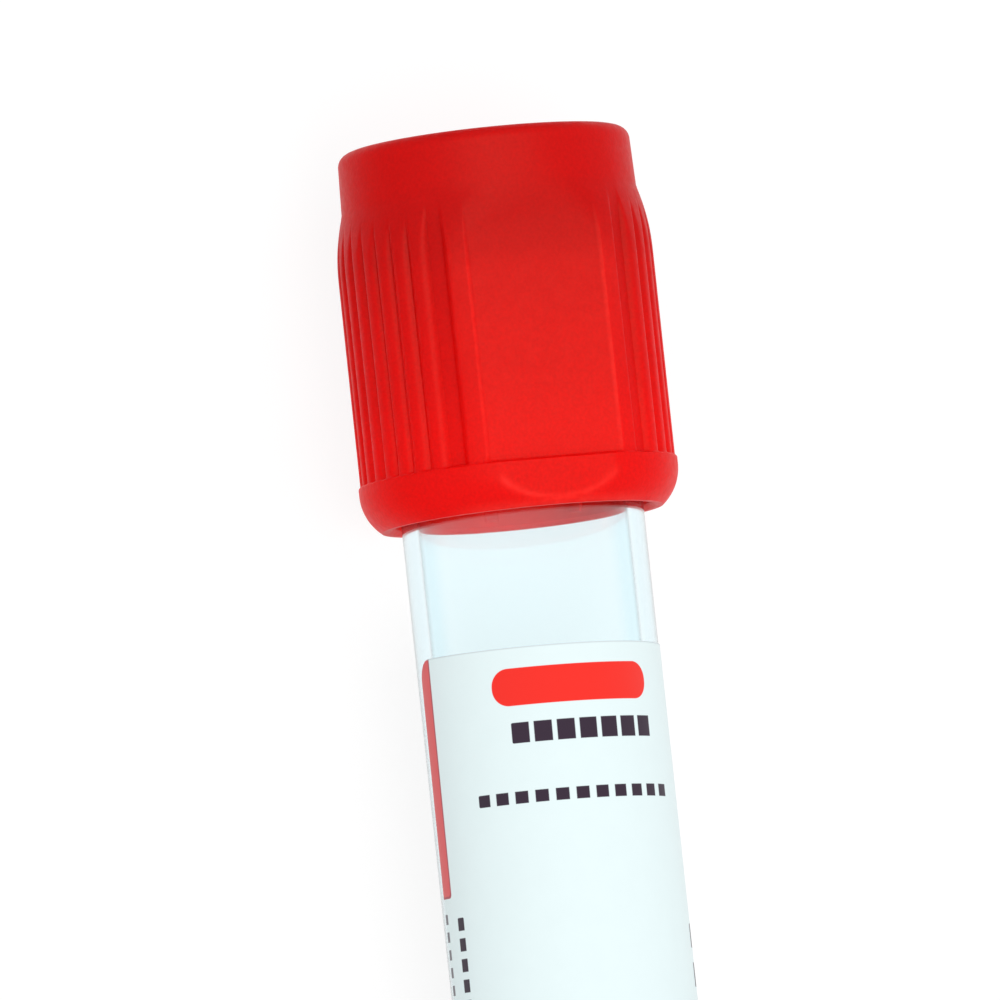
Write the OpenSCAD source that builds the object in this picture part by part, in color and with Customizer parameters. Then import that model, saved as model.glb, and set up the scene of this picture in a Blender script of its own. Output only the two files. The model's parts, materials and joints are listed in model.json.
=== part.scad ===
// Evacuated blood collection tube, 13 x 100 mm class, lying on its side.
// A clear round-bottomed tube, a rubber stopper in its mouth, a fluted safety
// cap over both, and a wrap-round label.  Each piece is modelled upright on the
// tube's own axis (tip at height 0, mouth upward, one thumb panel toward +X) and
// laid down by lie(), which turns that panel up.  The tube then rests on its tip
// and on the flat under the other panel.  Angles are taken round the tube's axis
// from the upper thumb panel.

/* [Tube] */
// Outside diameter of the tube
tube_od = 13; // [11:0.1:17]
// Length of the tube from its tip to its mouth
tube_len = 100; // [75:1:125]
// Thickness of the side wall
tube_wall = 0.88; // [0.7:0.02:1.2]
// Thickness of the rounded bottom at the tip
tip_wall = 1.3; // [0.9:0.1:2.2]
// Diameter of the moulding gate's dimple on the tip
gate_d = 1.5; // [0.8:0.1:2.4]
// Depth of the moulding gate's dimple
gate_depth = 0.12; // [0.05:0.01:0.3]

/* [Stopper] */
// Length of the plug that fills the mouth
plug_len = 9.2; // [6:0.1:12]
// Radial clearance between the plug and the bore
plug_fit = 0.03; // [0.02:0.01:0.08]
// Thickness of the stopper's head above the tube's mouth
head_t = 2.95; // [2.4:0.05:3.6]
// Width of the head's flange beyond the outside of the tube
flange_w = 0.5; // [0.4:0.05:0.7]
// Diameter of the needle well in the head
well_d = 6.6; // [5:0.1:7.4]
// Depth of the needle well
well_depth = 1.7; // [1:0.1:2]
// Diameter of the hollow in the plug's underside
hollow_d = 6.4; // [4:0.1:7.6]
// Depth of the straight part of that hollow
hollow_depth = 4; // [2:0.1:5]
// Length of the lead-in taper at the plug's lower edge
plug_lead = 0.9; // [0.4:0.1:1.4]

/* [Cap] */
// Height of the cap
cap_h = 20.4; // [18:0.1:24.5]
// Wall between the fluted side's crests and the skirt's bore
skirt_wall = 1.58; // [1.4:0.02:2]
// Radial step from the crests in to the plain ring at the top
ring_step = 0.56; // [0.3:0.02:0.6]
// Radial step from the crests out to the band at the bottom
band_step = 0.08; // [0.04:0.01:0.2]
// Height of the plain ring at the top
ring_h = 3.3; // [2.4:0.1:4]
// How far the ring tapers in towards the top
ring_draft = 0.08; // [0:0.02:0.2]
// Length of the curved shoulder below the ring
shoulder_h = 3.7; // [2.5:0.1:5]
// Height of the smooth band at the bottom
band_h = 2.5; // [2.2:0.1:3.6]
// Radius of the band's rounded lower edge
band_round = 2.7; // [1.6:0.1:3]
// Height of that rounded edge
band_round_h = 2.1; // [1.2:0.1:2.1]
// Radius of the top's outer edge
top_round = 0.7; // [0.3:0.1:1]
// Thickness of the top over the stopper
plate_t = 2.2; // [1.6:0.1:2.6]
// Diameter of the needle port in the top
port_d = 8.4; // [7.6:0.1:9.4]
// Radius of the port's edge
port_round = 0.4; // [0.2:0.1:0.6]
// Edge break round the port's lower end
port_break = 0.15; // [0.1:0.05:0.3]
// Radial clearance between the tube and the cap's guide ribs
skirt_fit = 0.15; // [0.1:0.05:0.3]
// Number of guide ribs inside the skirt
guides = 8; // [4:1:10]
// How far each guide rib stands off the skirt's bore
guide_h = 0.25; // [0.15:0.05:0.35]
// Width of each guide rib
guide_w = 0.8; // [0.5:0.1:1.2]

/* [Grip] */
// Half the angle that a thumb panel spans
panel_half = 26; // [20:1:28]
// Angle of the border rib beside each panel
border = 8.2; // [6:0.1:9]
// Angle of the wide groove beyond each border rib
wide_groove = 7.2; // [5:0.1:8]
// Number of reeds between two panels
reeds = 12; // [8:1:14]
// Radius of each reed
reed_r = 0.66; // [0.62:0.01:0.9]
// Depth of the wide grooves below the crests
groove_depth = 0.38; // [0.25:0.01:0.45]
// Depth of the step between a panel's edge and its border rib
panel_step = 0.14; // [0.05:0.01:0.3]
// Radius of the scoop at the upper end of each panel
scoop_r = 8; // [4:0.5:9]
// Depth of the flat on the band below each panel
band_flat = 0.64; // [0.3:0.02:0.8]

/* [Label] */
// Height of the label
label_h = 48; // [30:1:50]
// Width of the label round the tube
label_w = 33; // [24:0.5:36]
// Thickness of the label
label_t = 0.06; // [0.04:0.01:0.12]
// Gap between the cap's lower rim and the label
label_gap = 7.3; // [5:0.1:10]
// Angle from the upper thumb panel to the middle of the label's face
label_turn = -16; // [-40:1:40]
// Angle from the middle of the label's face to its left edge
label_left = -76.5; // [-90:0.5:-60]
// Radius of the label's corners
label_corner = 1.2; // [0.6:0.1:2]

/* [Hidden] */
$fn = 96;
mouth_gap = 0.05;   // running gap between the tube's lip and the stopper's head
seat_fit = 0.05;    // gap round the stopper's flange inside the cap
crest_trim = 0.02;  // how much the crest surface takes off each reed
corner_slip = 0.02; // how far the arc of a label corner runs past the label's edges
over = 1;           // how far a cut runs past the surface it opens
arc_steps = 8;      // straight steps in the outlines of the cap's large curves

// Tube
tube_r = tube_od / 2;
bore_r = tube_r - tube_wall;
lip_r = tube_wall / 2;

// Stopper, upward from the tube's mouth
plug_r = bore_r - plug_fit;
head_bot = tube_len + mouth_gap;
head_top = head_bot + head_t;
flange_r = tube_r + flange_w;

// Cap, downward from its top
cap_top = head_top + plate_t;
cap_bot = cap_top - cap_h;
guide_r = tube_r + skirt_fit;
skirt_r = guide_r + guide_h;
crest_r = skirt_r + skirt_wall;
ring_r = crest_r - ring_step;
ring_top_r = ring_r - ring_draft;
band_r = crest_r + band_step;
groove_r = crest_r - groove_depth;
seat_r = flange_r + seat_fit;
bead_r = guide_r + 0.07;
bead_top = head_bot - seat_fit;
bead_h = 0.5;
port_r = port_d / 2;
band_top = cap_bot + band_h;
band_round_top = cap_bot + band_round_h;
shoulder_top = cap_top - ring_h;
shoulder_bot = shoulder_top - shoulder_h;
shoulder_r = (pow(shoulder_h, 2) + pow(ring_step, 2)) / (2 * ring_step);

// Grip
panel_d = (crest_r - panel_step) * cos(panel_half);
panel_w = 2 * crest_r * sin(panel_half);
scoop_bot = shoulder_top - chord(scoop_r, ring_r - panel_d);
scoop_h = chord(scoop_r, 2 * over);
reed_start = panel_half + border + wide_groove;
reed_pitch = (180 - 2 * reed_start) / reeds;
reed_axis_r = crest_r + crest_trim - reed_r;

// Label
label_top = cap_bot - label_gap;
label_bot = label_top - label_h;
label_span = label_w / tube_r * 180 / PI;
label_start = label_turn + label_left;

// Rest: the ground touches the tip's dome and the low end of the flat on the band
flat_d = band_r - band_flat;
rest_len = band_round_top - min(chord(band_round, band_flat), band_round_h) - tube_r;
tilt = atan2(flat_d, rest_len) - asin(tube_r / norm([rest_len, flat_d]));
end_low = tube_r * (cos(tilt) - 1);
end_high = (cap_top - top_round) * cos(tilt) + (ring_top_r - top_round) * sin(tilt) + top_round;

// How far an arc of radius r falls away at distance h from where it starts, and the reverse
function sagitta(r, h) = r - sqrt(pow(r, 2) - pow(h, 2));
function chord(r, fall) = sqrt(pow(r, 2) - pow(r - fall, 2));

// Heights from 0 to h at which a curved outline gets its points
function steps(h) = [for (i = [0 : arc_steps]) h * i / arc_steps];

// Lays an upright piece down on the ground, centred over the origin
module lie() {
    translate([-(end_low + end_high) / 2, 0, tube_r * (1 - sin(tilt))])
        rotate([180, -90 - tilt, 0])
            children();
}

// A test-tube outline of radius r, closed by a dome whose lowest point is at height base
module dome_profile(r, base, top) {
    intersection() {
        union() {
            translate([0, base + r]) square([r, top - base - r]);
            translate([0, base + r]) circle(r);
        }
        translate([0, base]) square([r, top - base]);
    }
}

module tube() {
    color("azure", 0.35) lie() difference() {
        rotate_extrude() {
            difference() {
                dome_profile(tube_r, 0, tube_len - lip_r);
                dome_profile(bore_r, tip_wall, tube_len + over);
            }
            translate([tube_r - lip_r, tube_len - lip_r]) circle(lip_r);
        }
        // Dimple that the moulding gate leaves
        translate([0, 0, gate_depth - over]) cylinder(d = gate_d, h = over);
    }
}

module stopper_profile() {
    difference() {
        union() {
            translate([0, head_bot]) square([flange_r, head_t]);
            translate([0, tube_len - plug_len + plug_lead]) square([plug_r, plug_len - plug_lead + mouth_gap]);
            polygon([
                [0, tube_len - plug_len],
                [plug_r - plug_lead / 2, tube_len - plug_len],
                [plug_r, tube_len - plug_len + plug_lead],
                [0, tube_len - plug_len + plug_lead]
            ]);
        }
        // Needle well in the head
        translate([0, head_top - well_depth]) square([well_d / 2, well_depth + over]);
        // Hollow in the underside, ending in a shallow dome
        translate([0, tube_len - plug_len - over]) square([hollow_d / 2, hollow_depth + over]);
        translate([0, tube_len - plug_len + hollow_depth - hollow_d / 4]) intersection() {
            circle(hollow_d / 2);
            translate([0, hollow_d / 4]) square(hollow_d / 2);
        }
    }
}

module stopper() {
    color("firebrick") lie() rotate_extrude() stopper_profile();
}

// The cap's outside as a turned form, before the grooves and panels are cut
module cap_outline() {
    // Band with its rounded lower edge
    translate([0, band_round_top]) square([band_r, band_top - band_round_top]);
    intersection() {
        translate([band_r - band_round, band_round_top]) circle(band_round);
        translate([0, cap_bot]) square([band_r, band_round_h]);
    }
    translate([0, cap_bot]) square([band_r - band_round, band_round_h]);
    // Side and curved shoulder
    translate([0, band_top]) square([crest_r, shoulder_bot - band_top]);
    polygon(concat(
        [[0, shoulder_bot]],
        [for (h = steps(shoulder_h)) [crest_r - sagitta(shoulder_r, h), shoulder_bot + h]],
        [[0, shoulder_top]]
    ));
    // Plain ring, slightly tapered, with its rounded top edge
    polygon([
        [0, shoulder_top],
        [ring_r, shoulder_top],
        [ring_top_r, cap_top - top_round],
        [0, cap_top - top_round]
    ]);
    translate([ring_top_r - top_round, cap_top - top_round]) circle(top_round);
    translate([0, cap_top - top_round]) square([ring_top_r - top_round, top_round]);
}

// Reeds and border ribs standing on the groove floor, one side's worth at each turn
module grip_forms() {
    cylinder(r = groove_r, h = cap_top + over);
    cylinder(r = band_r + over, h = band_top);
    for (side = [0, 180]) rotate(side) {
        rotate(-panel_half - border)
            rotate_extrude(angle = 2 * (panel_half + border))
                translate([groove_r - over, cap_bot]) square([2 * over, cap_h]);
        for (i = [0 : reeds - 1])
            rotate(reed_start + (i + 0.5) * reed_pitch)
                translate([reed_axis_r, 0, cap_bot]) cylinder(r = reed_r, h = cap_h);
    }
}

// Flat thumb panel that runs out in a scoop below the plain ring, and the flat on the band under it
module panel_cut() {
    rotate([90, 0, 0]) linear_extrude(height = panel_w, center = true)
        polygon(concat(
            [[panel_d + 2 * over, band_top], [panel_d, band_top]],
            [for (h = steps(scoop_h)) [panel_d + sagitta(scoop_r, h), scoop_bot + h]],
            [[panel_d + 2 * over, scoop_bot + scoop_h]]
        ));
    translate([flat_d, -band_r, cap_bot - over]) cube([over, 2 * band_r, band_h + 2 * over]);
}

// The cap's inside: needle port, seat for the stopper's flange, retaining bead and skirt
module cap_hollow() {
    rotate_extrude() {
        difference() {
            polygon([
                [0, cap_top + over],
                [port_r + port_round, cap_top + over],
                [port_r + port_round, cap_top - port_round],
                [port_r, cap_top - port_round],
                [port_r, head_top + port_break],
                [port_r + port_break, head_top],
                [seat_r, head_top],
                [seat_r, bead_top],
                [bead_r, bead_top],
                [bead_r, bead_top - bead_h],
                [skirt_r, bead_top - bead_h - (skirt_r - bead_r)],
                [skirt_r, cap_bot + guide_h],
                [skirt_r + guide_h, cap_bot],
                [skirt_r + guide_h, cap_bot - over],
                [0, cap_bot - over]
            ]);
            translate([port_r + port_round, cap_top - port_round]) circle(port_round);
        }
    }
}

// Ribs inside the skirt that centre the cap on the tube
module guide_ribs() {
    guide_top = bead_top - bead_h;
    guide_bot = cap_bot + 2 * guide_h;
    intersection() {
        for (i = [0 : guides - 1]) rotate(i * 360 / guides)
            translate([0, -guide_w / 2, guide_bot]) cube([skirt_r + guide_h, guide_w, guide_top - guide_bot]);
        difference() {
            cylinder(r = skirt_r + guide_h, h = cap_top);
            cylinder(r = guide_r, h = cap_top);
        }
    }
}

module cap() {
    color("red") lie() {
        difference() {
            intersection() {
                rotate_extrude() cap_outline();
                grip_forms();
            }
            for (side = [0, 180]) rotate(side) panel_cut();
            cap_hollow();
        }
        guide_ribs();
    }
}

// What is cut off one corner of the label; turn and lift point to the corner, and the signs away from it
module corner_cut(turn, turn_sign, lift, lift_sign) {
    inset = label_corner - corner_slip;
    rotate(turn - turn_sign * inset / tube_r * 180 / PI) translate([0, 0, lift - lift_sign * inset])
        rotate([90, 0, 90]) linear_extrude(height = tube_od) difference() {
            mirror([turn_sign > 0 ? 0 : 1, 0]) mirror([0, lift_sign > 0 ? 0 : 1]) square(2 * label_corner);
            circle(label_corner);
        }
}

module label() {
    color("aliceblue") lie() difference() {
        rotate(label_start) rotate_extrude(angle = label_span)
            translate([tube_r, label_bot]) square([label_t, label_h]);
        for (s = [-1, 1]) {
            corner_cut(label_start, -1, s > 0 ? label_top : label_bot, s);
            corner_cut(label_start + label_span, 1, s > 0 ? label_top : label_bot, s);
        }
    }
}

tube();
stopper();
cap();
label();
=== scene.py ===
"""Looks of the blood collection tube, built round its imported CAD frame.

The frame is in metres.  The pieces' own sizes are in millimetres, as in the CAD source,
and local_frame puts them in place along the tube's axis.
"""

import json
import math

import bpy
import numpy as np
from mathutils import Matrix, Vector


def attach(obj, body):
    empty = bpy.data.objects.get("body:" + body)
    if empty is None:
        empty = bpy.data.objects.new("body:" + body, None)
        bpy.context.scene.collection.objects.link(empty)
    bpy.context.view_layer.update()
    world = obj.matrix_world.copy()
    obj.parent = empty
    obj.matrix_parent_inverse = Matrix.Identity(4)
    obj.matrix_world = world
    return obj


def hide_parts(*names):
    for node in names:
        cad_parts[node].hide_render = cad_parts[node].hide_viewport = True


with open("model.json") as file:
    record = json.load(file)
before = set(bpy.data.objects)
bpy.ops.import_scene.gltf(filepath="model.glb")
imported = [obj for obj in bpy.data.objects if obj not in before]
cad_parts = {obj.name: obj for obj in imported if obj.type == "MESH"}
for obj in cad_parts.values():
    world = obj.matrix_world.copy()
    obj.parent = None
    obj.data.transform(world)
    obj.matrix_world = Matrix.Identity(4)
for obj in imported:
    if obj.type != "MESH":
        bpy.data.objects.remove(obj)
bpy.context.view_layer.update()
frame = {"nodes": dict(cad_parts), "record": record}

MM = 0.001

# ---------------------------------------------------------------- the tube's own axes
# Local Z runs from the tip to the cap, local X points to the upper thumb panel.
mounts = {m["name"]: m for m in frame["record"]["mounts"]}
AXIS = Vector(mounts["needle_port"]["axis"]).normalized()
PANEL = Vector((-AXIS.z, 0, AXIS.x))
SIDE = Vector((0, -1, 0))
PORT = Vector(mounts["needle_port"]["pos_m"])


def reach(node):
    """Lowest and highest distance of a node's points along the axis, from the port."""
    along = [(v.co - PORT).dot(AXIS) for v in frame["nodes"][node].data.vertices]
    return min(along), max(along)


TIP, MOUTH = reach("tube")
CAP_RIM, CAP_TOP = reach("cap")
LABEL_LOW, LABEL_TOP = reach("label")


def axis_point(along):
    """The point of the axis at a distance from the port."""
    return PORT + AXIS * along


def local_frame(along):
    """The tube's axes as a matrix that starts at a distance along the axis."""
    matrix = Matrix((PANEL, SIDE, AXIS)).transposed().to_4x4()
    matrix.translation = axis_point(along)
    return matrix


# ---------------------------------------------------------------- sizes in millimetres
CAP_H = (CAP_TOP - CAP_RIM) / MM
TUBE_LEN = (MOUTH - TIP) / MM
LABEL_H = (LABEL_TOP - LABEL_LOW) / MM

# Tube
TUBE_R = 6.5
TUBE_WALL = 0.88
BORE_R = TUBE_R - TUBE_WALL
TIP_WALL = 1.3
GATE_R, GATE_TOP_R, GATE_DEPTH = 0.75, 0.675, 0.12

# Cap across, out from the tube
SKIRT_FIT = 0.15  # between the tube and the guide ribs
GUIDES, GUIDE_H, GUIDE_W = 8, 0.25, 0.8
SKIRT_R = TUBE_R + SKIRT_FIT + GUIDE_H
SKIRT_WALL = 1.58
CREST_R = SKIRT_R + SKIRT_WALL
RING_STEP, RING_DRAFT = 0.56, 0.08
RING_R = CREST_R - RING_STEP
RING_TOP_R = RING_R - RING_DRAFT
BAND_STEP = 0.08
BAND_R = CREST_R + BAND_STEP
SEAT_R = 7.05
BEAD_R = 6.72
PORT_R, PORT_ROUND, PORT_BREAK = 4.2, 0.4, 0.15

# Cap along, down from its top or up from its rim
TOP_ROUND = 0.7
PLATE_T = 2.2
RING_H = 3.3
SHOULDER_H = 3.7
BAND_H = 2.5
BAND_ROUND, BAND_ROUND_H = 2.7, 2.1
BEAD_DEPTH, BEAD_H = 5.2, 0.5
GUIDE_CLEAR = 0.3  # from the bead to the guide ribs
GUIDE_END = 0.05  # how much of its length a guide rib takes to rise
RIM_BREAK_W, RIM_BREAK_H = 0.05, 0.02

# Grip, by angle from the middle of the nearer thumb panel
PANEL_HALF = math.radians(26)
RIB_END = PANEL_HALF + math.radians(8.2)
REED_START = RIB_END + math.radians(7.2)
REEDS = 12
REED_PITCH = (math.pi - 2 * REED_START) / REEDS
REED_R = 0.66
CREST_TRIM = 0.02  # how much the crest's surface takes off each reed
REED_AXIS_R = CREST_R + CREST_TRIM - REED_R
GROOVE_DEPTH = 0.38
GROOVE_R = CREST_R - GROOVE_DEPTH
PANEL_D = 7.496  # from the axis to a panel
SCOOP_R = 8.0
BAND_FLAT = 0.64
FLAT_D = BAND_R - BAND_FLAT  # from the axis to the flat below a panel

# How softly the cap's surfaces run into each other
SIDE_BLEND, REED_BLEND, FLAT_BLEND = 0.1, 0.2, 0.05
PANEL_BLEND, SCOOP_BLEND = 0.08, 0.5  # at a panel, and how much more in its scoop
RIB_SLOPE, EDGE_SLOPE = math.radians(3.5), math.radians(1.0)
LEDGE_SLOPE, GUIDE_SLOPE = 0.16, 0.08

# Label
LABEL_T = 0.06
GLUE_T = 0.01
LABEL_FACE = math.radians(-16)  # the middle of its face, from the upper thumb panel
LABEL_LEFT = math.radians(-76.5)  # its left edge, from there
LABEL_W = 33.0
LABEL_CORNER = 1.2
LABEL_SKEW = math.radians(1.1)


# ---------------------------------------------------------------- camera
CAMERA_TURN = math.radians(-16)  # round the axis, from the upper thumb panel
CAMERA_TIPWARD = math.radians(4.82)  # how far the camera looks from the tip's side
CAMERA_ROLL = math.radians(6.09)
CAMERA_DISTANCE = 1.0
PICTURE_WIDTH = 53.4 * MM  # what the picture takes in at that distance
AIM_BELOW_TOP = 19.26 * MM
AIM_LEFT = 1.1 * MM
SENSOR = 36.0
CLIP_NEAR, CLIP_FAR = 0.05, 50

# Out of the face that the photograph shows, and to its right
FACE_OUT = PANEL * math.cos(CAMERA_TURN) + SIDE * math.sin(CAMERA_TURN)
FACE_RIGHT = SIDE * math.cos(CAMERA_TURN) - PANEL * math.sin(CAMERA_TURN)


def make_camera():
    """Places the camera at the photograph's angle, far off with a long lens."""
    back = FACE_OUT * math.cos(CAMERA_TIPWARD) - AXIS * math.sin(CAMERA_TIPWARD)
    up = AXIS * math.cos(CAMERA_TIPWARD) + FACE_OUT * math.sin(CAMERA_TIPWARD)
    aim = axis_point(CAP_TOP - AIM_BELOW_TOP) - FACE_RIGHT * AIM_LEFT
    rolled_right = FACE_RIGHT * math.cos(CAMERA_ROLL) - up * math.sin(CAMERA_ROLL)
    rolled_up = up * math.cos(CAMERA_ROLL) + FACE_RIGHT * math.sin(CAMERA_ROLL)
    data = bpy.data.cameras.new("camera")
    data.sensor_width = SENSOR
    data.lens = SENSOR * CAMERA_DISTANCE / PICTURE_WIDTH
    data.clip_start, data.clip_end = CLIP_NEAR, CLIP_FAR
    camera = bpy.data.objects.new("camera", data)
    camera.matrix_world = Matrix((rolled_right, rolled_up, back)).transposed().to_4x4()
    camera.location = aim + back * CAMERA_DISTANCE
    bpy.context.scene.collection.objects.link(camera)
    bpy.context.scene.camera = camera


make_camera()


# ---------------------------------------------------------------- mesh helpers
SHARP_ABOVE = math.radians(35)  # edges that turn by more are shaded sharp


def soft_min(a, b, blend):
    """The smaller of a and b, rounded over where they are within blend of each other."""
    t = np.clip(0.5 + 0.5 * (b - a) / blend, 0, 1)
    return b * (1 - t) + a * t - blend * t * (1 - t)


def soft_max(a, b, blend):
    """The larger of a and b, rounded in the same way."""
    return -soft_min(-a, -b, blend)


def soft_step(x, edge, width):
    """Rises from 0 to 1 over a width centred on edge."""
    t = np.clip((x - edge) / width + 0.5, 0, 1)
    return t * t * (3 - 2 * t)


def ridge(x, half_width):
    """1 where x is 0, falling away on both sides."""
    return np.exp(-((x / half_width) ** 2))


def sagitta(radius, along):
    """How far a circle falls from its tangent at a distance along it."""
    return radius - np.sqrt(radius**2 - along**2)


def arc(centre, radius, start, end, count):
    """Points (distance from the axis, height) along an arc, angles in degrees."""
    turns = np.radians(np.linspace(start, end, count))
    return [(centre[0] + radius * math.cos(t), centre[1] + radius * math.sin(t)) for t in turns]


def make_piece(name, points, faces, along, body, node, material):
    """A mesh piece from local millimetre points, standing for a CAD node of the same body."""
    mesh = bpy.data.meshes.new(name)
    matrix = local_frame(along)
    mesh.from_pydata([matrix @ (Vector(p) * MM) for p in points], [], faces)
    mesh.polygons.foreach_set("use_smooth", [True] * len(mesh.polygons))
    mesh.set_sharp_from_angle(angle=SHARP_ABOVE)
    mesh.materials.append(material)
    piece = bpy.data.objects.new(name, mesh)
    bpy.context.scene.collection.objects.link(piece)
    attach(piece, body)
    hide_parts(node)
    return piece


def ring_faces(rows, columns, first=0):
    """Quads between rows of points that each run once round the axis."""
    faces = []
    for i in range(rows - 1):
        for j in range(columns):
            k = (j + 1) % columns
            a, b = first + i * columns, first + (i + 1) * columns
            faces.append((a + j, a + k, b + k, b + j))
    return faces


# ---------------------------------------------------------------- tube
TUBE_COLUMNS = 256
TIP_ROWS, WALL_ROWS, LIP_ROWS = 32, 12, 13
OUTER_GAP, INNER_GAP = 1, 2  # degrees left between the tip's last row and the gate or the axis


def tube_profile():
    """The wall's section: up the outside from the tip's middle, over the lip, down the inside."""
    lip = (TUBE_R - BORE_R) / 2
    gate_turn = math.degrees(math.asin(GATE_R / TUBE_R))
    gate_rim = TUBE_R - math.sqrt(TUBE_R**2 - GATE_R**2)
    outside = [(0, GATE_DEPTH), (GATE_TOP_R, GATE_DEPTH), (GATE_R, gate_rim)]
    outside += arc((0, TUBE_R), TUBE_R, gate_turn + OUTER_GAP - 90, 0, TIP_ROWS)
    outside += [(TUBE_R, z) for z in np.linspace(TUBE_R, TUBE_LEN - lip, WALL_ROWS)[1:]]
    over_lip = arc((TUBE_R - lip, TUBE_LEN - lip), lip, 0, 180, LIP_ROWS)[1:]
    floor = TIP_WALL + BORE_R
    inside = [(BORE_R, z) for z in np.linspace(TUBE_LEN - lip, floor, WALL_ROWS)[1:]]
    inside += arc((0, floor), BORE_R, 0, INNER_GAP - 90, TIP_ROWS)[1:]
    return outside + over_lip + inside + [(0, TIP_WALL)]


def make_tube(material):
    """Turns the section round the axis; its two ends are single points on the axis."""
    profile = tube_profile()
    turns = np.linspace(0, 2 * math.pi, TUBE_COLUMNS, endpoint=False)
    points = [(0, 0, profile[0][1])]
    for r, z in profile[1:-1]:
        points += [(r * math.cos(t), r * math.sin(t), z) for t in turns]
    points.append((0, 0, profile[-1][1]))
    rows = len(profile) - 2
    last = len(points) - 1
    faces = ring_faces(rows, TUBE_COLUMNS, first=1)
    low = 1 + (rows - 1) * TUBE_COLUMNS
    for j in range(TUBE_COLUMNS):
        k = (j + 1) % TUBE_COLUMNS
        faces.append((0, 1 + k, 1 + j))
        faces.append((last, low + j, low + k))
    return make_piece(
        "clear_tube", points, faces, TIP, "tube_body", "tube", material
    )


# ---------------------------------------------------------------- cap
CAP_COLUMNS = 720
TOP_ROWS, SIDE_ROWS, LEDGE_ROWS, BAND_ROWS, PORT_ROWS = 8, 62, 8, 14, 6
TOP_ROUND_END = -8  # degrees from level, where the top's round meets the ring's draft
LEDGE = CAP_H - BAND_H
SIDE_LAST, LEDGE_FIRST, LEDGE_LAST = LEDGE - 0.1, LEDGE - 0.08, LEDGE + 0.1
ROUND_START = CAP_H - BAND_ROUND_H
SHOULDER_END = RING_H + SHOULDER_H
SHOULDER_R = (SHOULDER_H**2 + (CREST_R - RING_R) ** 2) / (2 * (CREST_R - RING_R))
SCOOP_FALL = RING_R - PANEL_D
SCOOP_END = RING_H + math.sqrt(2 * SCOOP_R * SCOOP_FALL - SCOOP_FALL**2)
SCOOP_REACH = 0.6 * SCOOP_R  # how far up the scoop's arc is followed
SCOOP_ENDS = SCOOP_END - 0.5, 3.5  # middle and length of the change, for soft_step

# Painted highlight on the grip and the band's edges, and painted light on the rim's lower edge,
# from 0 for none to 1 for pale, and where it changes
RIB_HIGHLIGHT, REED_HIGHLIGHT, PANEL_HIGHLIGHT = 0.19, 0.02, 0.13
PANEL_EDGE_HIGHLIGHT, FLAT_EDGE_HIGHLIGHT, RIM_PAINTED_LIGHT = 0.45, 0.6, 0.5
PANEL_EDGE_OFF, PANEL_EDGE_HALF = math.radians(0.2), math.radians(0.7)
FLAT_EDGE_HALF = 0.11
CREST_FADE, CREST_FADES = 0.75, (11.0, 10.0)  # how much the crests lose towards the rim
GRIP_HIGHLIGHT_STARTS, GRIP_HIGHLIGHT_ENDS = (SHOULDER_END - 0.5, 4.0), (LEDGE - 0.2, 0.4)
FLAT_HIGHLIGHT_STARTS, RIM_PAINTED_STARTS = (LEDGE + 0.9, 0.8), (CAP_H - 0.3, 0.5)
RIM_PAINTED_TURN = math.radians(40), math.radians(20)


def reed_radius(off):
    """Distance from the axis to the face of a reed whose middle is off radians away."""
    across = REED_AXIS_R * np.sin(off)
    return REED_AXIS_R * np.cos(off) + np.sqrt(np.maximum(REED_R**2 - across**2, 0))


def fluted_radius(turn):
    """The side's section, by turn from the nearer panel: border rib, wide groove and reeds."""
    rib = GROOVE_R + (CREST_R - GROOVE_R) * (1 - soft_step(turn, RIB_END, RIB_SLOPE))
    off = np.abs((turn - REED_START) % REED_PITCH - REED_PITCH / 2)
    reeds = soft_max(reed_radius(off), reed_radius(REED_PITCH - off), REED_BLEND)
    started = soft_step(turn, REED_START, EDGE_SLOPE)
    return np.maximum(rib, GROOVE_R + (reeds - GROOVE_R) * started)


def turned_radius(depth):
    """The cap's outline without flutes and panels: ring, shoulder and side."""
    drop = np.clip((depth - TOP_ROUND) / (RING_H - TOP_ROUND), 0, 1)
    ring = RING_TOP_R + (RING_R - RING_TOP_R) * drop
    shoulder = CREST_R - sagitta(SHOULDER_R, np.clip(SHOULDER_END - depth, 0, SHOULDER_H))
    return np.where(depth < RING_H, ring, shoulder)


def band_radius(depth):
    """The band's outline without its flats: straight, then rounded in to the rim."""
    return BAND_R - sagitta(BAND_ROUND, np.clip(depth - ROUND_START, 0, BAND_ROUND_H))


def outer_radius(turn, depth):
    """The cap's outside below its rounded top edge."""
    side = soft_min(turned_radius(depth), fluted_radius(turn), SIDE_BLEND)
    scoop = sagitta(SCOOP_R, np.clip(SCOOP_END - depth, 0, SCOOP_REACH))
    in_scoop = 1 - soft_step(depth, *SCOOP_ENDS)
    panel = (PANEL_D + scoop) / np.cos(turn)
    panel = soft_min(side, panel, PANEL_BLEND + SCOOP_BLEND * in_scoop)
    side = panel + (side - panel) * soft_step(turn, PANEL_HALF, EDGE_SLOPE)
    band = soft_min(band_radius(depth), FLAT_D / np.cos(turn), FLAT_BLEND)
    return side + (band - side) * soft_step(depth, LEDGE, LEDGE_SLOPE)


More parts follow.
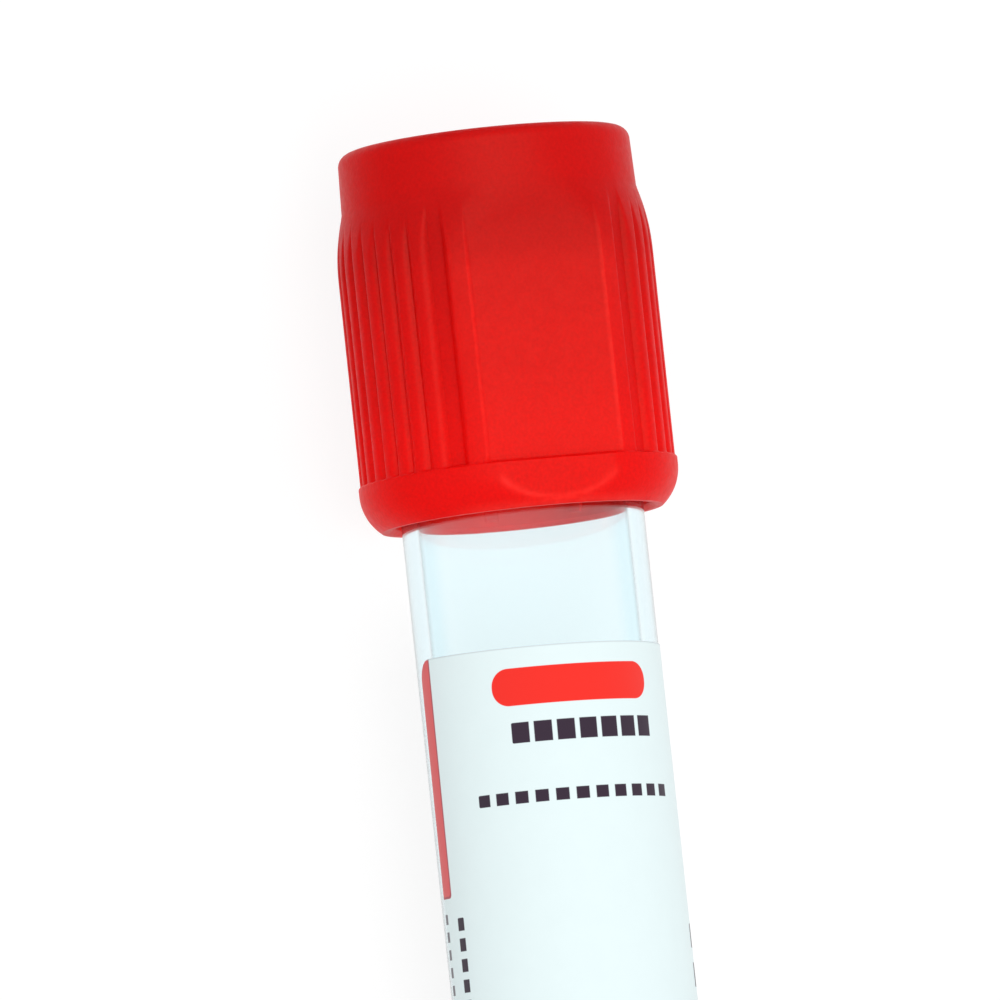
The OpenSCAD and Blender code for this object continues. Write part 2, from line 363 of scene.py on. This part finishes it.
def painted_light(turn, depth):
    """How much painted light makes the outside paler: painted highlight, most at the edges of the
    panels and their flats, and painted light on the rim.
    """
    crest = np.clip((fluted_radius(turn) - GROOVE_R) / (CREST_R - GROOVE_R), 0, 1) ** 2
    crest = crest * np.where(turn < REED_START, RIB_HIGHLIGHT, REED_HIGHLIGHT)
    crest = crest * (1 - CREST_FADE * soft_step(depth, *CREST_FADES))
    crest = PANEL_HIGHLIGHT + (crest - PANEL_HIGHLIGHT) * soft_step(turn, PANEL_HALF, EDGE_SLOPE)
    panel_edge = PANEL_EDGE_HIGHLIGHT * ridge(turn - PANEL_HALF - PANEL_EDGE_OFF, PANEL_EDGE_HALF)
    grip = soft_step(depth, *GRIP_HIGHLIGHT_STARTS) * (1 - soft_step(depth, *GRIP_HIGHLIGHT_ENDS))
    flat_edge = FLAT_EDGE_HIGHLIGHT * ridge(band_radius(depth) - FLAT_D / np.cos(turn), FLAT_EDGE_HALF)
    flat_edge = flat_edge * soft_step(depth, *FLAT_HIGHLIGHT_STARTS)
    # painted light on the rim's lower edge near the panels
    rim = RIM_PAINTED_LIGHT * soft_step(depth, *RIM_PAINTED_STARTS) * (1 - soft_step(turn, *RIM_PAINTED_TURN))
    return np.maximum(np.maximum(crest, panel_edge) * grip, np.maximum(flat_edge, rim))


def cap_depths():
    """Depths of the outside's rows, closest together at the band's ledge."""
    return np.concatenate([
        np.linspace(TOP_ROUND, SIDE_LAST, SIDE_ROWS),
        np.linspace(LEDGE_FIRST, LEDGE_LAST, LEDGE_ROWS),
        np.linspace(ROUND_START, CAP_H, BAND_ROWS),
    ])


def cap_inside():
    """The inside's rows, rim first: distance from the axis, depth, whether it has guide ribs."""
    port_arc = arc((PORT_R + PORT_ROUND, PORT_ROUND), PORT_ROUND, 180, 270, PORT_ROWS)
    return [
        (SKIRT_R + GUIDE_H + RIM_BREAK_W, CAP_H, False),
        (SKIRT_R + GUIDE_H, CAP_H - RIM_BREAK_H, False),
        (SKIRT_R, CAP_H - GUIDE_H, False),
        (SKIRT_R, CAP_H - 2 * GUIDE_H, False),
        (SKIRT_R, CAP_H - 2 * GUIDE_H - GUIDE_END, True),
        (SKIRT_R, BEAD_DEPTH + BEAD_H + GUIDE_CLEAR, True),
        (SKIRT_R, BEAD_DEPTH + BEAD_H + SKIRT_R - BEAD_R, False),
        (BEAD_R, BEAD_DEPTH + BEAD_H, False),
        (BEAD_R, BEAD_DEPTH, False),
        (SEAT_R, BEAD_DEPTH, False),
        (SEAT_R, PLATE_T, False),
        (PORT_R + PORT_BREAK, PLATE_T, False),
        (PORT_R, PLATE_T - PORT_BREAK, False),
    ] + [(r, depth, False) for r, depth in port_arc]


def make_cap(material):
    """One closed surface: out over the top, down the outside, under the rim and up the inside."""
    angle = np.linspace(0, 2 * math.pi, CAP_COLUMNS, endpoint=False)
    folded = np.abs((angle + math.pi / 2) % math.pi - math.pi / 2)
    rows, painted_rows = [], []
    top_round = (RING_TOP_R - TOP_ROUND, TOP_ROUND)
    for r, depth in arc(top_round, TOP_ROUND, -90, TOP_ROUND_END, TOP_ROWS):
        rows.append((np.full(CAP_COLUMNS, r), depth))
        painted_rows.append(np.zeros(CAP_COLUMNS))
    for depth in cap_depths():
        rows.append((outer_radius(folded, np.full(CAP_COLUMNS, depth)), depth))
        painted_rows.append(painted_light(folded, np.full(CAP_COLUMNS, depth)))
    to_guide = np.abs((angle + math.pi / GUIDES) % (2 * math.pi / GUIDES) - math.pi / GUIDES)
    guide = GUIDE_H * (1 - soft_step(to_guide * SKIRT_R, GUIDE_W / 2, GUIDE_SLOPE))
    for r, depth, ribbed in cap_inside():
        rows.append((r - guide * ribbed, depth))
    points = []
    for radius, depth in rows:
        points += zip(radius * np.cos(angle), radius * np.sin(angle), np.full(CAP_COLUMNS, -depth))
    total = len(points)
    # One row more than there is: its points are the first row's, which closes the surface.
    faces = ring_faces(len(rows) + 1, CAP_COLUMNS)
    faces = [tuple(v % total for v in reversed(face)) for face in faces]
    cap = make_piece(
        "safety_cap", points, faces, CAP_TOP, "closure", "cap", material
    )
    # the share of painted highlight and painted light, kept for the material
    values = np.zeros(total)
    values[: len(painted_rows) * CAP_COLUMNS] = np.concatenate(painted_rows)
    cap.data.attributes.new("painted_light", "FLOAT", "POINT").data.foreach_set("value", values)
    return cap


# ---------------------------------------------------------------- label
LABEL_COLUMNS = 160
CORNER_COLUMNS = 9
LABEL_ROWS = 49


def label_point(across, below, radius):
    """A point of the sheet, across its face and below its top, set askew and then wrapped."""
    middle = LABEL_H / 2
    u = across * math.cos(LABEL_SKEW) - (below - middle) * math.sin(LABEL_SKEW)
    v = (below - middle) * math.cos(LABEL_SKEW) + across * math.sin(LABEL_SKEW) + middle
    turn = LABEL_FACE + u / (TUBE_R + LABEL_T)
    return radius * math.cos(turn), radius * math.sin(turn), -v


def make_label(material):
    """A thin sheet with rounded corners, wrapped round the tube; an attribute holds it flat."""
    left = LABEL_LEFT * (TUBE_R + LABEL_T)
    ends = LABEL_CORNER * (1 - np.cos(np.linspace(0, math.pi / 2, CORNER_COLUMNS)))
    inner = np.linspace(left + LABEL_CORNER, left + LABEL_W - LABEL_CORNER, LABEL_COLUMNS)
    columns = np.concatenate([left + ends[:-1], inner, left + LABEL_W - ends[-2::-1]])
    flat = []
    for across in columns:
        into = max(left + LABEL_CORNER - across, across - (left + LABEL_W - LABEL_CORNER), 0)
        corner = sagitta(LABEL_CORNER, min(into, LABEL_CORNER))
        flat += [(across, below) for below in np.linspace(corner, LABEL_H - corner, LABEL_ROWS)]
    points = [
        label_point(u, v, r) for r in (TUBE_R + LABEL_T, TUBE_R + GLUE_T) for u, v in flat
    ]
    per_side = len(flat)
    faces = []
    last = len(columns) - 1
    for i in range(last):
        for j in range(LABEL_ROWS - 1):
            a, b = i * LABEL_ROWS + j, (i + 1) * LABEL_ROWS + j
            faces.append((a, a + 1, b + 1, b))
            faces.append(tuple(per_side + v for v in (b, b + 1, a + 1, a)))
    rim = [(i * LABEL_ROWS, (i + 1) * LABEL_ROWS) for i in range(last)]
    rim += [((i + 1) * LABEL_ROWS - 1, (i + 2) * LABEL_ROWS - 1)[::-1] for i in range(last)]
    rim += [(j + 1, j) for j in range(LABEL_ROWS - 1)]
    rim += [(last * LABEL_ROWS + j, last * LABEL_ROWS + j + 1) for j in range(LABEL_ROWS - 1)]
    faces += [(a, b, per_side + b, per_side + a) for a, b in rim]
    label = make_piece(
        "wrap_label", points, faces, LABEL_TOP, "tube_body", "label", material
    )
    # Across, below the top, and 1 on the outer side.
    sheet = [x for outer in (1, 0) for u, v in flat for x in (u, v, outer)]
    label.data.attributes.new("sheet_mm", "FLOAT_VECTOR", "POINT").data.foreach_set("vector", sheet)
    return label


# ---------------------------------------------------------------- shader helpers
def new_material(name):
    """An empty material, its node tree and its output node."""
    material = bpy.data.materials.new(name)
    material.use_nodes = True
    tree = material.node_tree
    tree.nodes.clear()
    output = tree.nodes.new("ShaderNodeOutputMaterial")
    return material, tree, output


def principled(tree, **values):
    """A Principled shader with values for the sockets named by the keywords."""
    node = tree.nodes.new("ShaderNodeBsdfPrincipled")
    for key, value in values.items():
        node.inputs[key.replace("_", " ")].default_value = value
    return node


def maths(tree, operation, a, b=None, c=None):
    """A Math node; each input is a number or another node's socket."""
    node = tree.nodes.new("ShaderNodeMath")
    node.operation = operation
    for i, value in enumerate((a, b, c)):
        if value is None:
            continue
        if isinstance(value, (int, float)):
            node.inputs[i].default_value = value
        else:
            tree.links.new(value, node.inputs[i])
    return node.outputs[0]


def blend_colours(tree, factor, a, b):
    """Mixes colour a towards b; each is a tuple or another node's socket."""
    node = tree.nodes.new("ShaderNodeMix")
    node.data_type = "RGBA"
    tree.links.new(factor, node.inputs["Factor"])
    for name, value in (("A", a), ("B", b)):
        socket = next(s for s in node.inputs if s.name == name and s.type == "RGBA")
        if isinstance(value, tuple):
            socket.default_value = (*value, 1)
        else:
            tree.links.new(value, socket)
    return next(s for s in node.outputs if s.type == "RGBA")


def noise(tree, size, detail=2.0):
    """Noise whose features are about size across, in metres."""
    coords = tree.nodes.new("ShaderNodeTexCoord")
    node = tree.nodes.new("ShaderNodeTexNoise")
    node.inputs["Scale"].default_value = 1 / size
    node.inputs["Detail"].default_value = detail
    tree.links.new(coords.outputs["Object"], node.inputs["Vector"])
    return node.outputs["Fac"]


def map_range(tree, value, low, high, to_low, to_high):
    """Runs smoothly from to_low to to_high while the value runs from low to high."""
    node = tree.nodes.new("ShaderNodeMapRange")
    node.interpolation_type = "SMOOTHSTEP"
    ends = {"From Min": low, "From Max": high, "To Min": to_low, "To Max": to_high}
    for name, number in ends.items():
        node.inputs[name].default_value = number
    tree.links.new(value, node.inputs["Value"])
    return node.outputs["Result"]


def patches(tree, size, low, high):
    """Soft patches about size across, with values from low to high."""
    return map_range(tree, noise(tree, size), 0.3, 0.7, low, high)


def attribute(tree, name, output):
    """An output of a mesh attribute."""
    node = tree.nodes.new("ShaderNodeAttribute")
    node.attribute_name = name
    return node.outputs[output]


def mix_shaders(tree, factor, a, b):
    """Shader a where the factor is 0, shader b where it is 1."""
    node = tree.nodes.new("ShaderNodeMixShader")
    tree.links.new(factor, node.inputs["Fac"])
    tree.links.new(a, node.inputs[1])
    tree.links.new(b, node.inputs[2])
    return node.outputs[0]


def add_bump(tree, shader, height, strength, distance):
    """Roughens a shader's surface by a height field."""
    bump = tree.nodes.new("ShaderNodeBump")
    bump.inputs["Strength"].default_value = strength
    bump.inputs["Distance"].default_value = distance
    tree.links.new(height, bump.inputs["Height"])
    tree.links.new(bump.outputs["Normal"], shader.inputs["Normal"])


def from_port(tree):
    """A point's place seen from the needle port, in metres."""
    coords = tree.nodes.new("ShaderNodeTexCoord")
    node = tree.nodes.new("ShaderNodeVectorMath")
    node.operation = "SUBTRACT"
    node.inputs[1].default_value = PORT
    tree.links.new(coords.outputs["Object"], node.inputs[0])
    return node.outputs["Vector"]


def dot(tree, a, b):
    """The dot product of a socket with another socket or a fixed direction."""
    node = tree.nodes.new("ShaderNodeVectorMath")
    node.operation = "DOT_PRODUCT"
    tree.links.new(a, node.inputs[0])
    if isinstance(b, Vector):
        node.inputs[1].default_value = b
    else:
        tree.links.new(b, node.inputs[1])
    return node.outputs["Value"]


def depth_below_top(tree):
    """Depth of a point below the cap's top, along the axis, in metres."""
    return maths(tree, "SUBTRACT", CAP_TOP, dot(tree, from_port(tree), AXIS))


def distance_from_axis(tree):
    """Distance of a point from the tube's axis, in metres."""
    place = from_port(tree)
    along = dot(tree, place, AXIS)
    along_squared = maths(tree, "MULTIPLY", along, along)
    squared = maths(tree, "SUBTRACT", dot(tree, place, place), along_squared)
    return maths(tree, "SQRT", maths(tree, "MAXIMUM", squared, 0.0))


# ---------------------------------------------------------------- materials
CAP_RED = (0.79, 0.002, 0.0015)
# the paler red of the painted highlight and painted light
PAINTED_LIGHT_RED = (1.0, 0.03, 0.022)
PAINTED_INSIDE_RED = (1.0, 0.012, 0.01)  # painted light: a paler red inside the skirt, for light through its thin wall
INSIDE_FROM, INSIDE_TO = SKIRT_R + 0.4, SKIRT_R + 0.1  # where that takes over, going in
RED_SCATTER = (1.0, 0.05, 0.03)
SCATTER_DEPTH = 0.9 * MM
# The share of the red that is left at a depth in millimetres below the cap's top, darker towards
# the top: partly what shows through the wall (the solid top, the stopper's dark head, its plug in
# the tube, then the empty tube) and partly painted shade where less light falls towards the top;
# the darker top edge is painted shade.
BACKING_AND_SHADE = [
    (0.0, 0.70), (0.7, 0.79), (2.4, 0.79), (4.4, 0.73),
    (6.2, 0.74), (8.0, 0.82), (12.0, 0.91), (17.0, 1.03),
]
# Sizes of the noises, in metres, with what they do.
CLOUDS, CLOUD_SHIFT = 3 * MM, 0.04  # shifts the backing and its painted shade, by a share of the cap's height
MOTTLE, MOTTLE_RANGE = 0.17 * MM, 0.3
HIGHLIGHT_PATCHES, SATIN_PATCHES = 0.5 * MM, 0.4 * MM
GRAIN, GRAIN_H = 0.15 * MM, 0.02 * MM


def cap_plastic():
    """Translucent polyethylene with a fine satin grain, darker towards the top, partly over the
    stopper's head and partly as painted shade; paler where painted highlight and painted light are
    laid on.
    """
    material, tree, output = new_material("cap_plastic")
    shader = principled(
        tree,
        Specular_IOR_Level=0.09,
        Subsurface_Weight=0.8,
        Subsurface_Radius=RED_SCATTER,
        Subsurface_Scale=SCATTER_DEPTH,
    )
    # Painted shade in part: the red darkens towards the top and at the top edge.
    ramp = tree.nodes.new("ShaderNodeValToRGB")
    ramp.color_ramp.interpolation = "EASE"
    while len(ramp.color_ramp.elements) < len(BACKING_AND_SHADE):
        ramp.color_ramp.elements.new(0.5)
    for stop, (depth, share) in zip(ramp.color_ramp.elements, BACKING_AND_SHADE):
        stop.position = depth / CAP_H
        stop.color = [share * c for c in CAP_RED] + [1]
    clouds = maths(tree, "MULTIPLY_ADD", noise(tree, CLOUDS), CLOUD_SHIFT, -CLOUD_SHIFT / 2)
    along = maths(tree, "DIVIDE", depth_below_top(tree), CAP_H * MM)
    tree.links.new(maths(tree, "ADD", along, clouds), ramp.inputs["Fac"])
    mottle = tree.nodes.new("ShaderNodeHueSaturation")
    tree.links.new(ramp.outputs["Color"], mottle.inputs["Color"])
    value = maths(tree, "MULTIPLY_ADD", noise(tree, MOTTLE), MOTTLE_RANGE, 1 - MOTTLE_RANGE / 2)
    tree.links.new(value, mottle.inputs["Value"])
    # Painted highlight and painted light: paler red where the attribute says, in soft patches.
    painted_share = attribute(tree, "painted_light", "Fac")
    pale = maths(tree, "MULTIPLY", painted_share, patches(tree, HIGHLIGHT_PATCHES, 0.7, 1.2))
    colour = blend_colours(tree, pale, mottle.outputs["Color"], PAINTED_LIGHT_RED)
    # Painted light: the inside of the skirt is paler red.
    off_axis = distance_from_axis(tree)
    inside = map_range(tree, off_axis, INSIDE_TO * MM, INSIDE_FROM * MM, 1.0, 0.0)
    colour = blend_colours(tree, inside, colour, PAINTED_INSIDE_RED)
    tree.links.new(colour, shader.inputs["Base Color"])
    add_bump(tree, shader, noise(tree, GRAIN), strength=0.5, distance=GRAIN_H)
    tree.links.new(patches(tree, SATIN_PATCHES, 0.4, 0.48), shader.inputs["Roughness"])
    tree.links.new(shader.outputs[0], output.inputs["Surface"])
    return material


# Colours of clear plastic, by how far the surface turns from the eye: 0 is flat on and 1 edge on,
# where the eye looks through more of the wall; the dark outline at the very edge is painted shade.
CLEAR_FACE = (0.905, 0.985, 1.0)
CLEAR_WALL, WALL_FROM, WALL_TO = (0.71, 0.915, 0.98), 0.35, 0.6
PAINTED_OUTLINE_SHADE, OUTLINE_FROM, OUTLINE_TO = (0.40, 0.48, 0.51), 0.76, 0.9
# A painted dark line, as painted shade where the bore's edge shows through the wall; only the
# outside, by distance from the axis, has it.
PAINTED_BORE_SHADE, LINE_AT, LINE_CORE, LINE_END = (0.70, 0.80, 0.83), 0.482, 0.015, 0.038
OUTSIDE_FROM, OUTSIDE_TO = BORE_R + 0.3, BORE_R + 0.5
CLEAR_SHADOW = (0.99, 1.0, 1.0, 1)  # what each surface lets through of a lamp's light


def clear_plastic():
    """Faintly blue clear polyester with a painted dark outline and bore line; lamps shine through
    it.
    """
    material, tree, output = new_material("clear_plastic")
    shader = principled(tree, Roughness=0.03, IOR=1.57, Transmission_Weight=1.0)
    layer = tree.nodes.new("ShaderNodeLayerWeight")
    layer.inputs["Blend"].default_value = 0.5
    turned = layer.outputs["Facing"]
    wall = map_range(tree, turned, WALL_FROM, WALL_TO, 0.0, 1.0)
    colour = blend_colours(tree, wall, CLEAR_FACE, CLEAR_WALL)
    # Painted shade: a dark line where the bore's edge shows.
    off_line = maths(tree, "ABSOLUTE", maths(tree, "SUBTRACT", turned, LINE_AT))
    line = map_range(tree, off_line, LINE_CORE, LINE_END, 1.0, 0.0)
    off_axis = distance_from_axis(tree)
    outside = map_range(tree, off_axis, OUTSIDE_FROM * MM, OUTSIDE_TO * MM, 0.0, 1.0)
    colour = blend_colours(tree, maths(tree, "MULTIPLY", line, outside), colour, PAINTED_BORE_SHADE)
    # Painted shade: a dark outline at the very edge.
    outline = map_range(tree, turned, OUTLINE_FROM, OUTLINE_TO, 0.0, 1.0)
    colour = blend_colours(tree, outline, colour, PAINTED_OUTLINE_SHADE)
    tree.links.new(colour, shader.inputs["Base Color"])
    waves = noise(tree, 6 * MM, detail=1.0)
    add_bump(tree, shader, waves, strength=0.1, distance=0.02 * MM)
    through = tree.nodes.new("ShaderNodeBsdfTransparent")
    through.inputs["Color"].default_value = CLEAR_SHADOW
    path = tree.nodes.new("ShaderNodeLightPath")
    is_shadow = path.outputs["Is Shadow Ray"]
    surface = mix_shaders(tree, is_shadow, shader.outputs[0], through.outputs[0])
    tree.links.new(surface, output.inputs["Surface"])
    return material


RUBBER, BLOOM = (0.33, 0.016, 0.013), (0.42, 0.035, 0.03)


def stopper_rubber():
    """Dull red butyl rubber with a dusty bloom."""
    material, tree, output = new_material("stopper_rubber")
    shader = principled(tree, Roughness=0.6)
    bloom = map_range(tree, noise(tree, 1.5 * MM, detail=4.0), 0.35, 0.7, 0.0, 1.0)
    tree.links.new(blend_colours(tree, bloom, RUBBER, BLOOM), shader.inputs["Base Color"])
    add_bump(tree, shader, noise(tree, 0.1 * MM), strength=0.3, distance=0.01 * MM)
    tree.links.new(shader.outputs[0], output.inputs["Surface"])
    return material


# ---------------------------------------------------------------- label print
PAPER = (0.82, 0.945, 0.955)
MOTTLED_PAPER = tuple(0.97 * c for c in PAPER)
EDGE_SHADOW_GREY, EDGE_SHADOW_SHARE = (0.5, 0.56, 0.6), 0.6  # painted shadow along the upper edge, and how much of it shows
EDGE_SHADOW_FROM, EDGE_SHADOW_TO = 0.02, 0.1  # millimetres below the label's top
STRIP_RED = (0.74, 0.085, 0.09)
STRIP_EDGE, STRIP_EDGE_W = (0.42, 0.05, 0.07), 0.12
BAR_RED = (0.93, 0.02, 0.01)
INK = (0.028, 0.012, 0.03)
PALE_INK = (0.16, 0.15, 0.17)

# Generic print as rounded bars on the sheet: left, right, top and bottom in millimetres across the
# face and below the label's top, and the corners' radius; then the ink, and the pitch and length of
# the dashes across or down the sheet that stand in for a line of print.
STRIP = (-8.9, -7.55, -1.0, 12.8, 0.25)
BARS = [
    ((-3.1, 6.1, 1.1, 3.1, 0.95), BAR_RED, None),
    ((-2.2, 6.35, 4.0, 5.1, 0.1), INK, ("across", 1.23, 0.97)),
    ((-4.5, 7.5, 7.65, 8.3, 0.1), INK, ("across", 1.1, 0.72)),
    ((-8.75, -8.35, 13.6, 44.0, 0.08), PALE_INK, ("down", 0.95, 0.55)),
    ((-7.1, -6.5, 13.9, 44.0, 0.1), INK, ("down", 1.1, 0.7)),
    ((9.3, 9.8, 15.0, 44.0, 0.1), INK, ("down", 2.1, 1.3)),
]
INK_EDGE = 0.05  # how softly an ink edge ends


def rounded_bar(tree, u, v, bar, grow=0.0):
    """1 inside a rounded bar, 0 outside it."""
    left, right, top, bottom, corner = bar
    half_u, half_v = (right - left) / 2 + grow, (bottom - top) / 2 + grow
    du = maths(tree, "ABSOLUTE", maths(tree, "SUBTRACT", u, (left + right) / 2))
    dv = maths(tree, "ABSOLUTE", maths(tree, "SUBTRACT", v, (top + bottom) / 2))
    qu = maths(tree, "MAXIMUM", maths(tree, "SUBTRACT", du, half_u - corner), 0.0)
    qv = maths(tree, "MAXIMUM", maths(tree, "SUBTRACT", dv, half_v - corner), 0.0)
    squares = maths(tree, "MULTIPLY", qu, qu), maths(tree, "MULTIPLY", qv, qv)
    outside = maths(tree, "SQRT", maths(tree, "ADD", *squares))
    return map_range(tree, outside, corner - INK_EDGE / 2, corner + INK_EDGE / 2, 1.0, 0.0)


def dashes(tree, along, start, pitch, length):
    """1 on the dashes of a dashed line, 0 between them."""
    into = maths(tree, "FLOORED_MODULO", maths(tree, "SUBTRACT", along, start), pitch)
    off = maths(tree, "ABSOLUTE", maths(tree, "SUBTRACT", into, length / 2))
    off = maths(tree, "MINIMUM", off, maths(tree, "SUBTRACT", pitch, off))
    return map_range(tree, off, (length - INK_EDGE) / 2, (length + INK_EDGE) / 2, 1.0, 0.0)


def label_paper():
    """Satin coated label stock with plain printed bars on its outer side."""
    material, tree, output = new_material("label_paper")
    shader = principled(tree, Roughness=0.42, Specular_IOR_Level=0.35)
    split = tree.nodes.new("ShaderNodeSeparateXYZ")
    tree.links.new(attribute(tree, "sheet_mm", "Vector"), split.inputs[0])
    u, v, outer = split.outputs
    colour = blend_colours(tree, noise(tree, 1.2 * MM, detail=4.0), PAPER, MOTTLED_PAPER)
    for ink, grow in ((STRIP_EDGE, 0.0), (STRIP_RED, -STRIP_EDGE_W)):
        inked = maths(tree, "MULTIPLY", rounded_bar(tree, u, v, STRIP, grow), outer)
        colour = blend_colours(tree, inked, colour, ink)
    # Painted shadow along the label's upper edge.
    edge_shadow = map_range(tree, v, EDGE_SHADOW_FROM, EDGE_SHADOW_TO, EDGE_SHADOW_SHARE, 0.0)
    colour = blend_colours(tree, edge_shadow, colour, EDGE_SHADOW_GREY)
    for bar, ink, dashed in BARS:
        inked = maths(tree, "MULTIPLY", rounded_bar(tree, u, v, bar), outer)
        if dashed:
            way, pitch, length = dashed
            along, start = (u, bar[0]) if way == "across" else (v, bar[2])
            inked = maths(tree, "MULTIPLY", inked, dashes(tree, along, start, pitch, length))
        colour = blend_colours(tree, inked, colour, ink)
    tree.links.new(colour, shader.inputs["Base Color"])
    fibres = noise(tree, 0.25 * MM, detail=3.0)
    add_bump(tree, shader, fibres, strength=0.15, distance=0.004 * MM)
    tree.links.new(shader.outputs[0], output.inputs["Surface"])
    return material


make_tube(clear_plastic())
cap = make_cap(cap_plastic())
make_label(label_paper())
stopper = frame["nodes"]["stopper"]
stopper.data.materials.clear()
stopper.data.materials.append(stopper_rubber())


# ---------------------------------------------------------------- floor and light
FLOOR_SIZE = 8
# The floor is seen as this glow and this grey: white together, and only the grey takes a shadow.
FLOOR_GLOW, FLOOR_GREY = 0.88, (0.15, 0.15, 0.15, 1)
FLOOR_PAPER = (0.8, 0.8, 0.8, 1)  # what lights the object
SKY_LIGHT = 0.78
WHITE = (1, 1, 1, 1)
LAMP_DISTANCE = 1.15
KEY_WAY = FACE_OUT + FACE_RIGHT * 0.32 - AXIS * 0.27
KEY_SIZE, KEY_POWER = 0.6, 4.1
GLOSS_WAY = FACE_OUT + FACE_RIGHT * 0.15 + AXIS * 0.05
GLOSS_SIZE, GLOSS_POWER, GLOSS_COLOUR = 1.5, 13.0, (1.0, 0.92, 0.68)


def seen_rays(tree):
    """1 for the rays that show the background: camera, glossy and transmission rays."""
    path = tree.nodes.new("ShaderNodeLightPath")
    seen = maths(tree, "MAXIMUM", path.outputs["Is Camera Ray"], path.outputs["Is Glossy Ray"])
    return maths(tree, "MAXIMUM", seen, path.outputs["Is Transmission Ray"])


def diffuse(tree, colour):
    """A plain matt shader."""
    node = tree.nodes.new("ShaderNodeBsdfDiffuse")
    node.inputs["Color"].default_value = colour
    return node.outputs[0]


def make_floor():
    """A floor that shows white with a faint shadow, and lights the object as pale paper would."""
    bpy.ops.mesh.primitive_plane_add(size=FLOOR_SIZE)
    floor = bpy.context.object
    floor.name = "floor"
    material, tree, output = new_material("floor")
    glow = tree.nodes.new("ShaderNodeEmission")
    glow.inputs["Strength"].default_value = FLOOR_GLOW
    shown = tree.nodes.new("ShaderNodeAddShader")
    tree.links.new(glow.outputs[0], shown.inputs[0])
    tree.links.new(diffuse(tree, FLOOR_GREY), shown.inputs[1])
    surface = mix_shaders(tree, seen_rays(tree), diffuse(tree, FLOOR_PAPER), shown.outputs[0])
    tree.links.new(surface, output.inputs["Surface"])
    floor.data.materials.append(material)


def background(tree, strength):
    """White light of a strength from all round."""
    node = tree.nodes.new("ShaderNodeBackground")
    node.inputs["Strength"].default_value = strength
    node.inputs["Color"].default_value = WHITE
    return node.outputs[0]


def make_world():
    """Soft white light from all round, shown as a white background."""
    world = bpy.data.worlds.new("world")
    bpy.context.scene.world = world
    world.use_nodes = True
    tree = world.node_tree
    tree.nodes.clear()
    output = tree.nodes.new("ShaderNodeOutputWorld")
    light, shown = background(tree, SKY_LIGHT), background(tree, 1.0)
    surface = mix_shaders(tree, seen_rays(tree), light, shown)
    tree.links.new(surface, output.inputs["Surface"])


def add_lamp(name, way, size, power):
    """A round area lamp in a direction from the cap's rim, aimed at it."""
    data = bpy.data.lights.new(name, "AREA")
    data.shape = "DISK"
    data.size = size
    data.energy = power
    lamp = bpy.data.objects.new(name, data)
    lamp.location = axis_point(CAP_RIM) + way.normalized() * LAMP_DISTANCE
    lamp.rotation_mode = "QUATERNION"
    lamp.rotation_quaternion = way.to_track_quat("Z", "Y")
    lamp.visible_camera = False
    lamp.visible_glossy = False
    bpy.context.scene.collection.objects.link(lamp)
    return lamp


def light_gloss(piece):
    """A lamp that gives one piece its satin highlight and lights nothing else."""
    lamp = add_lamp("highlight", GLOSS_WAY, GLOSS_SIZE, GLOSS_POWER)
    lamp.visible_diffuse = False
    lamp.visible_transmission = False
    lamp.visible_glossy = True
    lamp.data.color = GLOSS_COLOUR
    alone = bpy.data.collections.new("cap_alone")
    alone.objects.link(piece)
    lamp.light_linking.receiver_collection = alone


make_floor()
make_world()
add_lamp("key", KEY_WAY, KEY_SIZE, KEY_POWER)
light_gloss(cap)

bpy.context.scene.view_settings.view_transform = "Standard"
